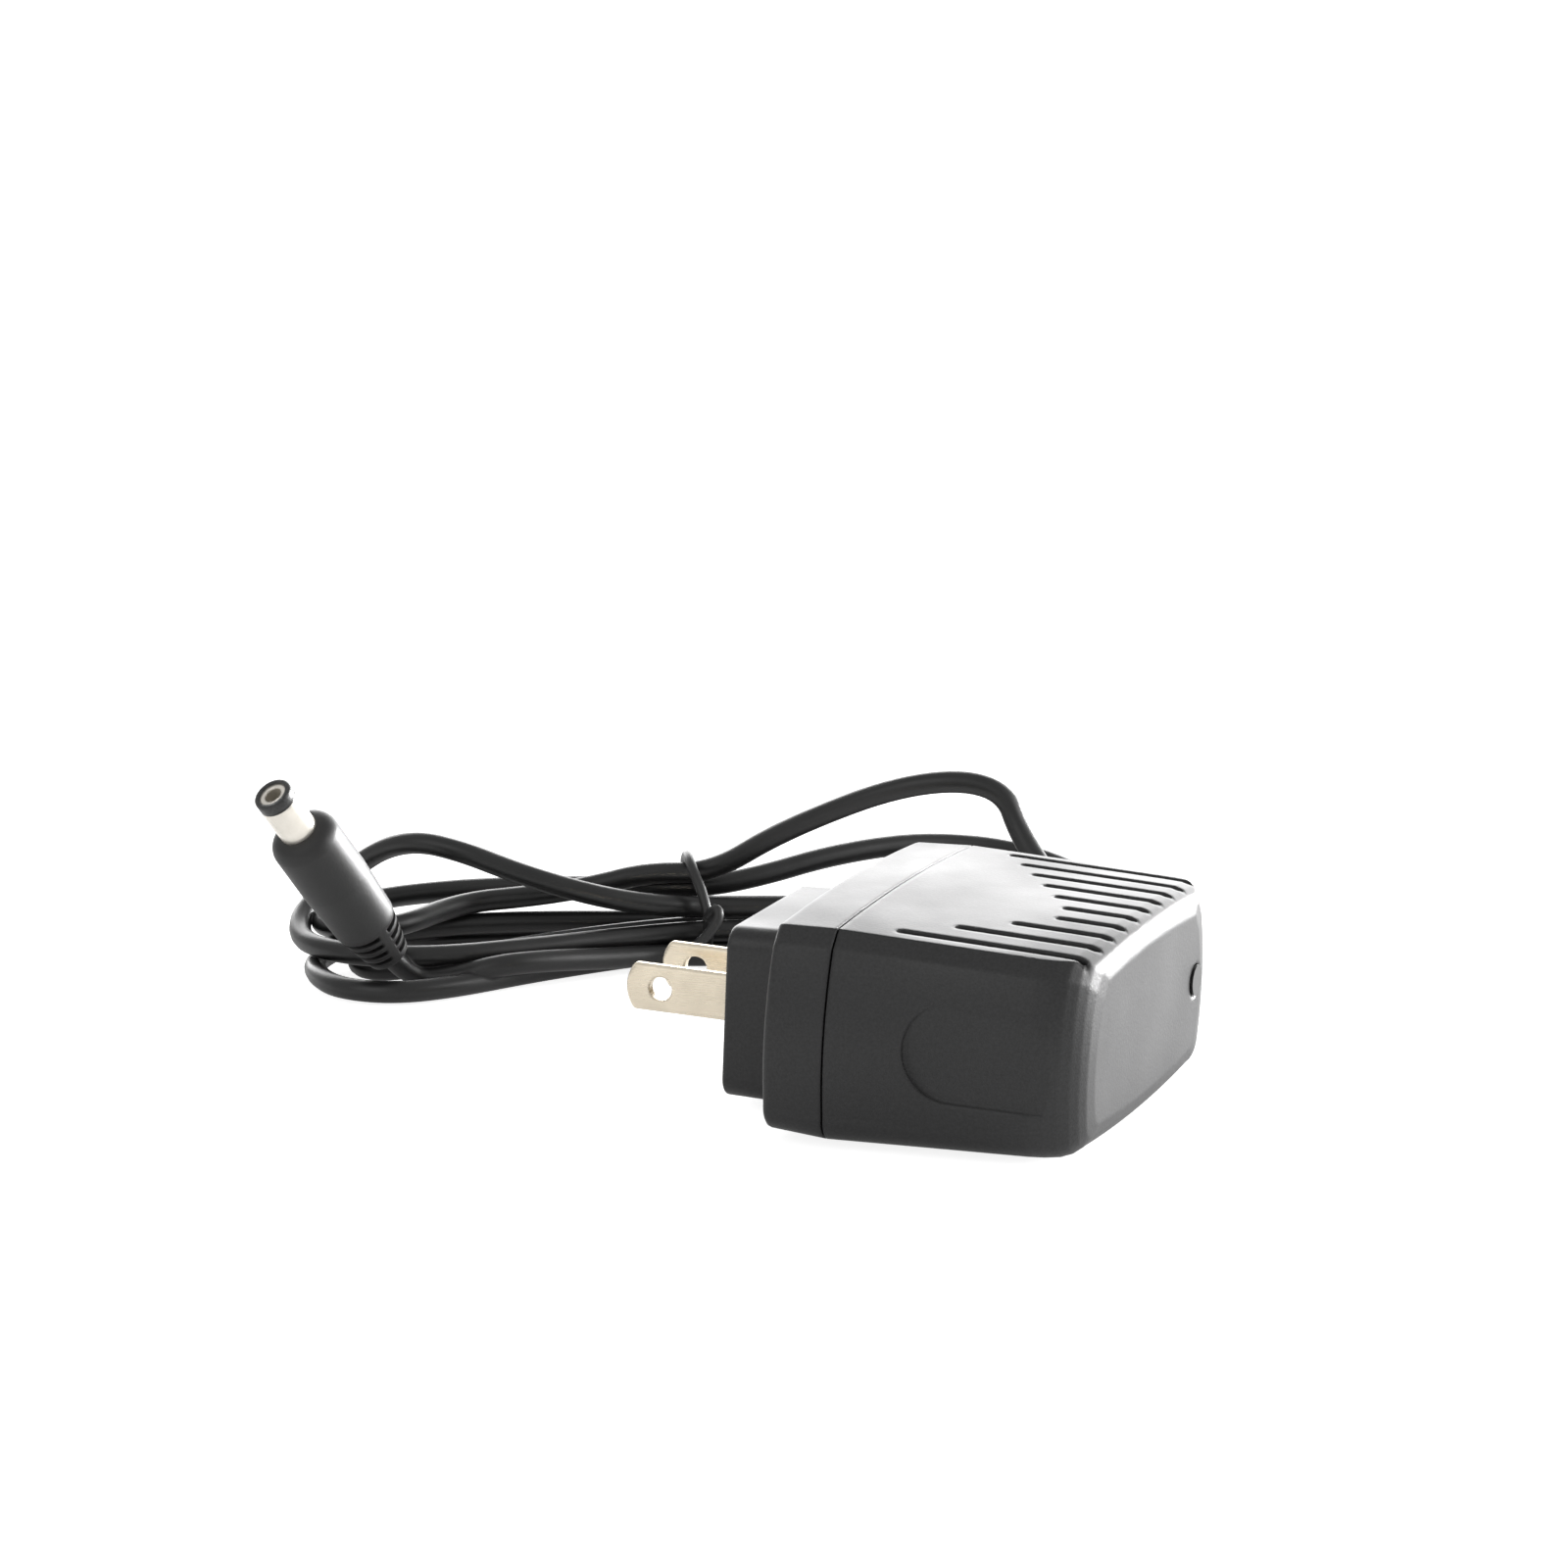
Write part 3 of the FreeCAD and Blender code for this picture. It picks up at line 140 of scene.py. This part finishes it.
class AdapterSettings(bpy.types.PropertyGroup):
    housing_colour: bpy.props.FloatVectorProperty(
        name="Housing colour", description="Colour of the moulded housing and cover",
        subtype="COLOR", size=3, default=(0.0125, 0.0125, 0.013), min=0.0, max=1.0)
    cord_colour: bpy.props.FloatVectorProperty(
        name="Cord colour", description="Colour of the cord's jacket and of the moulded plug",
        subtype="COLOR", size=3, default=(0.011, 0.011, 0.011), min=0.0, max=1.0)
    blade_colour: bpy.props.FloatVectorProperty(
        name="Blade colour", description="Colour of the plated blades",
        subtype="COLOR", size=3, default=(1.0, 0.89, 0.71), min=0.0, max=1.0)
    cord_diameter: bpy.props.FloatProperty(
        name="Cord diameter", description="Outside diameter of the cord's jacket",
        default=0.0032, unit="LENGTH")
    tie_diameter: bpy.props.FloatProperty(
        name="Tie diameter", description="Thickness of the coated tie wire",
        default=0.0015, unit="LENGTH")


class StudioSettings(bpy.types.PropertyGroup):
    back_light: bpy.props.FloatProperty(
        name="Back light", description="Power of the long panel behind the adapter",
        default=23.0, min=0.0)
    side_light: bpy.props.FloatProperty(
        name="Side light", description="Power of the panel to the right", default=7.0, min=0.0)
    end_light: bpy.props.FloatProperty(
        name="End light", description="Power of the low panel that the end face mirrors",
        default=46.0, min=0.0)
    fill_light: bpy.props.FloatProperty(
        name="Fill light", description="Power of the panel in front", default=3.0, min=0.0)


# Node helpers
def new_material(name):
    material = bpy.data.materials.new(name)
    material.use_nodes = True
    tree = material.node_tree
    shader = tree.nodes["Principled BSDF"]
    return material, tree, shader


def object_noise(tree, scale, detail=3.0, roughness=0.5):
    place = tree.nodes.new("ShaderNodeTexCoord")
    noise = tree.nodes.new("ShaderNodeTexNoise")
    noise.inputs["Scale"].default_value = scale
    noise.inputs["Detail"].default_value = detail
    noise.inputs["Roughness"].default_value = roughness
    tree.links.new(place.outputs["Object"], noise.inputs["Vector"])
    return noise


def ramp_between(tree, source, low, high, dark, light):
    ramp = tree.nodes.new("ShaderNodeValToRGB")
    ramp.color_ramp.elements[0].position = low
    ramp.color_ramp.elements[1].position = high
    ramp.color_ramp.elements[0].color = (*dark, 1.0)
    ramp.color_ramp.elements[1].color = (*light, 1.0)
    tree.links.new(source, ramp.inputs["Fac"])
    return ramp


def range_between(tree, source, low, high):
    limits = tree.nodes.new("ShaderNodeMapRange")
    limits.inputs["From Min"].default_value = NOISE_LOW
    limits.inputs["From Max"].default_value = NOISE_HIGH
    limits.inputs["To Min"].default_value = low
    limits.inputs["To Max"].default_value = high
    tree.links.new(source, limits.inputs["Value"])
    return limits


def raise_surface(tree, shader, source, strength, distance, edge=EDGE_ROUNDING):
    bump = tree.nodes.new("ShaderNodeBump")
    bump.inputs["Strength"].default_value = strength
    bump.inputs["Distance"].default_value = distance
    edges = tree.nodes.new("ShaderNodeBevel")
    edges.samples = 6
    edges.inputs["Radius"].default_value = edge
    tree.links.new(edges.outputs["Normal"], bump.inputs["Normal"])
    tree.links.new(source, bump.inputs["Height"])
    tree.links.new(bump.outputs["Normal"], shader.inputs["Normal"])
    return bump


def vary(tree, shader, mask, low, high, dark, light):
    tint = ramp_between(tree, mask.outputs["Fac"], low, high, dark, light)
    tree.links.new(tint.outputs["Color"], shader.inputs["Base Color"])


def vary_gloss(tree, shader, mask, gloss):
    gloss_range = range_between(tree, mask.outputs["Fac"], *gloss)
    tree.links.new(gloss_range.outputs["Result"], shader.inputs["Roughness"])


def stretched(tree, texture, scale):
    place = tree.nodes.new("ShaderNodeTexCoord")
    stretch = tree.nodes.new("ShaderNodeMapping")
    stretch.inputs["Scale"].default_value = scale
    tree.links.new(place.outputs["Object"], stretch.inputs["Vector"])
    texture.inputs["Scale"].default_value = 1.0
    tree.links.new(stretch.outputs["Vector"], texture.inputs["Vector"])
    return texture


def shade(colour, factor):
    return tuple(min(1.0, channel * factor) for channel in colour)


# Moulded plastic with a spark-eroded grain: fine pits, slow changes of gloss
def grained_plastic(name, colour, gloss=(0.36, 0.46), grain=2600.0, depth=0.00003):
    material, tree, shader = new_material(name)
    fine = object_noise(tree, grain, 2.0, 0.6)
    slow = object_noise(tree, 60.0, 3.0, 0.5)
    vary(tree, shader, fine, NOISE_LOW, NOISE_HIGH, shade(colour, 0.6), shade(colour, 1.5))
    vary_gloss(tree, shader, slow, gloss)
    shader.inputs["IOR"].default_value = 1.52
    raise_surface(tree, shader, fine.outputs["Fac"], 0.8, depth, HOUSING_ROUNDING)
    return material


# Plated metal: faint rolling lines along one axis and soft stains
def plated_metal(name, colour, gloss=(0.22, 0.34), lines=(40.0, 40.0, 1800.0)):
    material, tree, shader = new_material(name)
    rolling = stretched(tree, tree.nodes.new("ShaderNodeTexNoise"), lines)
    rolling.inputs["Detail"].default_value = 4.0
    stain = object_noise(tree, 260.0, 4.0, 0.6)
    vary(tree, shader, stain, 0.35, NOISE_HIGH, shade(colour, 0.86), colour)
    vary_gloss(tree, shader, rolling, gloss)
    shader.inputs["Metallic"].default_value = 0.7
    raise_surface(tree, shader, rolling.outputs["Fac"], 0.08, 0.00002)
    return material


# Vinyl jacket and moulded elastomer: smooth, with a soft cloudy gloss
def soft_vinyl(name, colour, gloss=(0.3, 0.44), grain=900.0, depth=0.00004):
    material, tree, shader = new_material(name)
    cloud = object_noise(tree, 120.0, 4.0, 0.55)
    fine = object_noise(tree, grain, 3.0, 0.6)
    vary(tree, shader, cloud, NOISE_LOW, 0.72, shade(colour, 0.8), shade(colour, 1.35))
    vary_gloss(tree, shader, cloud, gloss)
    shader.inputs["IOR"].default_value = 1.5
    raise_surface(tree, shader, fine.outputs["Fac"], 0.35, depth)
    return material


# Paint, epoxy, tape and sheet of the components: mottled between two colours
def coated_part(name, colour, second, gloss=(0.3, 0.45), scale=400.0, metallic=0.0):
    material, tree, shader = new_material(name)
    mottle = object_noise(tree, scale, 4.0, 0.6)
    vary(tree, shader, mottle, 0.35, 0.65, colour, second)
    vary_gloss(tree, shader, mottle, gloss)
    shader.inputs["Metallic"].default_value = metallic
    raise_surface(tree, shader, mottle.outputs["Fac"], 0.2, 0.00003)
    return material


# Wire wound side by side: fine ridges across one axis, with painted shade that darkens the grooves
# between the turns
def wound_wire(name, colour, ridge=(0.0, 0.0, 2600.0)):
    material, tree, shader = new_material(name)
    turns_and_groove_shade = stretched(tree, tree.nodes.new("ShaderNodeTexWave"), ridge)
    turns_and_groove_shade.bands_direction = "DIAGONAL"
    # The colour is darker where the ridges are low: painted shade in the grooves between turns
    vary(tree, shader, turns_and_groove_shade, 0.0, 1.0, shade(colour, 0.45), colour)
    shader.inputs["Metallic"].default_value = 0.6
    shader.inputs["Roughness"].default_value = 0.35
    raise_surface(tree, shader, turns_and_groove_shade.outputs["Fac"], 0.5, 0.00006)
    return material


# Dark clear plastic under a thin gloss coat
def smoked_plastic(name, colour):
    material, tree, shader = new_material(name)
    haze = object_noise(tree, 700.0, 3.0, 0.5)
    vary(tree, shader, haze, NOISE_LOW, NOISE_HIGH, shade(colour, 0.7), shade(colour, 1.2))
    shader.inputs["Roughness"].default_value = 0.12
    shader.inputs["Coat Weight"].default_value = 0.3
    shader.inputs["Coat Roughness"].default_value = 0.05
    return material


def dress(material, *nodes):
    for node in nodes:
        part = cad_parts[node]
        part.data.materials.clear()
        part.data.materials.append(material)


def route_curve(name, route, diameter, material, sides):
    curve = bpy.data.curves.new(name, "CURVE")
    curve.dimensions = "3D"
    spline = curve.splines.new("NURBS")
    spline.points.add(len(route) - 1)
    for point, place in zip(spline.points, route):
        point.co = (*(step * MILLIMETRE for step in place), 1.0)
    spline.order_u = 3
    spline.use_endpoint_u = True
    spline.resolution_u = 10
    curve.bevel_depth = diameter / 2
    curve.bevel_resolution = sides
    curve.use_fill_caps = True
    curve.materials.append(material)
    piece = bpy.data.objects.new(name, curve)
    bpy.context.scene.collection.objects.link(piece)
    return piece


def mesh_piece(name, shape, material):
    mesh = bpy.data.meshes.new(name)
    bmesh.ops.remove_doubles(shape, verts=shape.verts, dist=1e-7)
    bmesh.ops.recalc_face_normals(shape, faces=shape.faces)
    shape.to_mesh(mesh)
    shape.free()
    for face in mesh.polygons:
        face.use_smooth = True
    mesh.materials.append(material)
    piece = bpy.data.objects.new(name, mesh)
    bpy.context.scene.collection.objects.link(piece)
    return piece


class ADAPTER_OT_finish_housing(bpy.types.Operator):
    """Gives the housing, cover, gland and indicator their moulded finishes"""
    bl_idname = "adapter.finish_housing"
    bl_label = "Finish housing"

    def execute(self, context):
        colour = context.scene.adapter_settings.housing_colour
        dress(grained_plastic("housing_grain", colour), "rear_housing", "front_cover")
        dress(soft_vinyl("gland_vinyl", shade(colour, 0.9)), "strain_relief")
        dress(smoked_plastic("lens_smoked", (0.012, 0.013, 0.012)), "indicator_lens")
        return {"FINISHED"}


class ADAPTER_OT_finish_blades(bpy.types.Operator):
    """Gives the blades their plated finish"""
    bl_idname = "adapter.finish_blades"
    bl_label = "Finish blades"

    def execute(self, context):
        colour = context.scene.adapter_settings.blade_colour
        dress(plated_metal("blade_plating", colour), "blade_near", "blade_far")
        return {"FINISHED"}


class ADAPTER_OT_finish_inside(bpy.types.Operator):
    """Gives the circuit board and its components their finishes"""
    bl_idname = "adapter.finish_inside"
    bl_label = "Finish inside"

    def execute(self, context):
        dress(coated_part("board_laminate", (0.44, 0.33, 0.14), (0.55, 0.43, 0.20)),
              "circuit_board")
        dress(coated_part("ferrite_ground", (0.05, 0.05, 0.055), (0.09, 0.09, 0.095)),
              "transformer_core", "input_choke")
        dress(coated_part("bobbin_phenolic", (0.02, 0.02, 0.02), (0.04, 0.04, 0.04)),
              "transformer_bobbin")
        dress(coated_part("winding_tape", (0.62, 0.45, 0.05), (0.74, 0.56, 0.10)),
              "transformer_winding")
        dress(coated_part("can_sleeve", (0.02, 0.022, 0.035), (0.035, 0.038, 0.06), (0.2, 0.3)),
              "input_capacitor_left", "input_capacitor_right",
              "output_capacitor_left", "output_capacitor_right")
        dress(coated_part("epoxy_case", (0.02, 0.02, 0.022), (0.04, 0.04, 0.042)),
              "bridge_rectifier", "control_chip", "optocoupler", "output_diode")
        dress(coated_part("resistor_coating", (0.24, 0.34, 0.25), (0.34, 0.44, 0.33)),
              "fuse_resistor")
        dress(coated_part("disc_coating", (0.04, 0.14, 0.36), (0.07, 0.20, 0.46), (0.15, 0.25)),
              "safety_capacitor")
        dress(wound_wire("choke_copper", (0.62, 0.26, 0.10)), "choke_winding")
        dress(coated_part("sink_sheet", (0.60, 0.60, 0.61), (0.72, 0.72, 0.72), (0.3, 0.4),
                          scale=500.0, metallic=0.9),
              "heat_sink")
        dress(coated_part("lead_insulation", (0.55, 0.55, 0.53), (0.66, 0.66, 0.64)),
              "input_lead_near", "input_lead_far")
        dress(coated_part("tinned_wire", (0.50, 0.50, 0.49), (0.64, 0.64, 0.62), (0.25, 0.4),
                          scale=900.0, metallic=0.9),
              "indicator_lead")
        return {"FINISHED"}


class ADAPTER_OT_finish_plug(bpy.types.Operator):
    """Gives the barrel plug its rubber, plated and plastic finishes"""
    bl_idname = "adapter.finish_plug"
    bl_label = "Finish plug"

    def execute(self, context):
        colour = context.scene.adapter_settings.cord_colour
        dress(soft_vinyl("plug_rubber", shade(colour, 1.3), (0.42, 0.55), grain=2400.0),
              "plug_overmould")
        barrel = plated_metal("barrel_plating", (1.0, 0.95, 0.86), (0.16, 0.26))
        dress(barrel, "plug_sleeve", "plug_contact")
        dress(grained_plastic("insulator_plastic", (0.03, 0.03, 0.03), (0.25, 0.35)),
              "plug_insulator")
        return {"FINISHED"}


class ADAPTER_OT_lay_cord(bpy.types.Operator):
    """Lays the whole cord from the gland, round the hank, to the plug"""
    bl_idname = "adapter.lay_cord"
    bl_label = "Lay cord"

    def execute(self, context):
        settings = context.scene.adapter_settings
        jacket = soft_vinyl("cord_jacket", settings.cord_colour)
        piece = route_curve("cord", CORD_ROUTE, settings.cord_diameter, jacket, sides=6)
        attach(piece, "root")
        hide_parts("cord_hank", "cord_from_adapter", "cord_to_plug")
        return {"FINISHED"}


class ADAPTER_OT_wrap_tie(bpy.types.Operator):
    """Wraps the coated wire round the hank and leaves its twisted end"""
    bl_idname = "adapter.wrap_tie"
    bl_label = "Wrap tie"

    def execute(self, context):
        settings = context.scene.adapter_settings
        coating = soft_vinyl("tie_coating", shade(settings.cord_colour, 1.5), (0.35, 0.5))
        loop = route_curve("tie", TIE_ROUTE, settings.tie_diameter, coating, sides=4)
        tail = route_curve("tie_end", TIE_END_ROUTE, settings.tie_diameter, coating, sides=4)
        for piece in (loop, tail):
            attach(piece, "root")
        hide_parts("twist_tie")
        return {"FINISHED"}


# White matt floor that glows for the camera, so the backdrop is white and shadows stay
def floor_material():
    material, tree, shader = new_material("white_floor")
    shader.inputs["Base Color"].default_value = (0.8, 0.8, 0.8, 1.0)
    shader.inputs["Roughness"].default_value = 1.0
    shader.inputs["Specular IOR Level"].default_value = 0.0
    rays = tree.nodes.new("ShaderNodeLightPath")
    glow = tree.nodes.new("ShaderNodeEmission")
    glow.inputs["Color"].default_value = (1.0, 1.0, 1.0, 1.0)
    glow.inputs["Strength"].default_value = FLOOR_GLOW
    mirrored = tree.nodes.new("ShaderNodeMath")
    mirrored.operation = "MULTIPLY"
    mirrored.inputs[1].default_value = FLOOR_MIRRORED
    tree.links.new(rays.outputs["Is Glossy Ray"], mirrored.inputs[0])
    either = tree.nodes.new("ShaderNodeMath")
    either.operation = "MAXIMUM"
    tree.links.new(rays.outputs["Is Camera Ray"], either.inputs[0])
    tree.links.new(mirrored.outputs["Value"], either.inputs[1])
    blank = tree.nodes.new("ShaderNodeEmission")
    blank.inputs["Strength"].default_value = 0.0
    choose = tree.nodes.new("ShaderNodeMixShader")
    tree.links.new(either.outputs["Value"], choose.inputs["Fac"])
    tree.links.new(blank.outputs["Emission"], choose.inputs[1])
    tree.links.new(glow.outputs["Emission"], choose.inputs[2])
    both = tree.nodes.new("ShaderNodeAddShader")
    tree.links.new(shader.outputs["BSDF"], both.inputs[0])
    tree.links.new(choose.outputs["Shader"], both.inputs[1])
    tree.links.new(both.outputs["Shader"], tree.nodes["Material Output"].inputs["Surface"])
    return material


# Turns something that looks along its own -z
def looking(place, direction):
    turn = direction.to_track_quat("-Z", "Y").to_matrix().to_4x4()
    return Matrix.Translation(place) @ turn


def panel_light(name, place, width, height, power):
    data = bpy.data.lights.new(name, "AREA")
    data.shape = "RECTANGLE"
    data.size = width
    data.size_y = height
    data.energy = power
    lamp = bpy.data.objects.new(name, data)
    lamp.matrix_world = looking(place, Vector(PANEL_AIM) - Vector(place))
    bpy.context.scene.collection.objects.link(lamp)


# World whose strength depends on the kind of ray
def light_world(scene):
    world = bpy.data.worlds.new("studio")
    scene.world = world
    world.use_nodes = True
    tree = world.node_tree
    sky = tree.nodes["Background"]
    sky.inputs["Color"].default_value = (1.0, 1.0, 1.0, 1.0)
    rays = tree.nodes.new("ShaderNodeLightPath")
    seen = tree.nodes.new("ShaderNodeMath")
    seen.operation = "ADD"
    seen.use_clamp = True
    tree.links.new(rays.outputs["Is Camera Ray"], seen.inputs[0])
    tree.links.new(rays.outputs["Is Transmission Ray"], seen.inputs[1])
    ambient = tree.nodes.new("ShaderNodeMapRange")
    ambient.inputs["To Min"].default_value = ROOM_AMBIENT
    ambient.inputs["To Max"].default_value = ROOM_MIRRORED
    tree.links.new(rays.outputs["Is Glossy Ray"], ambient.inputs["Value"])
    level = tree.nodes.new("ShaderNodeMix")
    level.inputs["B"].default_value = 1.0
    tree.links.new(seen.outputs["Value"], level.inputs["Factor"])
    tree.links.new(ambient.outputs["Result"], level.inputs["A"])
    tree.links.new(level.outputs["Result"], sky.inputs["Strength"])


def place_camera(scene):
    data = bpy.data.cameras.new("camera")
    data.sensor_width = CAMERA_SENSOR
    data.lens = CAMERA_LENS
    data.shift_x, data.shift_y = CAMERA_SHIFT
    data.clip_start = CAMERA_CLIP
    camera = bpy.data.objects.new("camera", data)
    camera.matrix_world = looking(CAMERA_PLACE, -Vector(CAMERA_BACK).normalized())
    scene.collection.objects.link(camera)
    scene.camera = camera


class ADAPTER_OT_set_stage(bpy.types.Operator):
    """Sets the white floor, the soft panels and the camera"""
    bl_idname = "adapter.set_stage"
    bl_label = "Set stage"

    def execute(self, context):
        scene = context.scene
        studio = scene.studio_settings
        shape = bmesh.new()
        bmesh.ops.create_grid(shape, x_segments=1, y_segments=1, size=FLOOR_HALF)
        floor = mesh_piece("floor", shape, floor_material())
        floor.data.transform(Matrix.Translation((0.0, 0.0, CAD_BOX[0].z - FLOOR_GAP)))

        light_world(scene)
        for setting, place, width, height in PANELS:
            panel_light(setting, place, width, height, getattr(studio, setting))
        place_camera(scene)
        scene.view_settings.view_transform = "Standard"
        return {"FINISHED"}


class ADAPTER_PT_panel(bpy.types.Panel):
    """Lists the steps that finish the adapter"""
    bl_idname = "ADAPTER_PT_panel"
    bl_label = "Power adapter"
    bl_space_type = "VIEW_3D"
    bl_region_type = "UI"
    bl_category = "Adapter"

    def draw(self, context):
        settings = context.scene.adapter_settings
        studio = context.scene.studio_settings
        for name in ("housing_colour", "cord_colour", "blade_colour", "cord_diameter",
                     "tie_diameter"):
            self.layout.prop(settings, name)
        for setting, *_ in PANELS:
            self.layout.prop(studio, setting)
        for step in STEPS:
            self.layout.operator(step.bl_idname)


STEPS = (
    ADAPTER_OT_finish_housing,
    ADAPTER_OT_finish_blades,
    ADAPTER_OT_finish_inside,
    ADAPTER_OT_finish_plug,
    ADAPTER_OT_lay_cord,
    ADAPTER_OT_wrap_tie,
    ADAPTER_OT_set_stage,
)
CLASSES = (AdapterSettings, StudioSettings) + STEPS + (ADAPTER_PT_panel,)


def register():
    for each in CLASSES:
        bpy.utils.register_class(each)
    bpy.types.Scene.adapter_settings = bpy.props.PointerProperty(type=AdapterSettings)
    bpy.types.Scene.studio_settings = bpy.props.PointerProperty(type=StudioSettings)


def unregister():
    del bpy.types.Scene.studio_settings
    del bpy.types.Scene.adapter_settings
    for each in reversed(CLASSES):
        bpy.utils.unregister_class(each)


def main():
    register()
    bpy.ops.adapter.finish_housing()
    bpy.ops.adapter.finish_blades()
    bpy.ops.adapter.finish_inside()
    bpy.ops.adapter.finish_plug()
    bpy.ops.adapter.lay_cord()
    bpy.ops.adapter.wrap_tie()
    bpy.ops.adapter.set_stage()


if __name__ == "__main__":
    main()
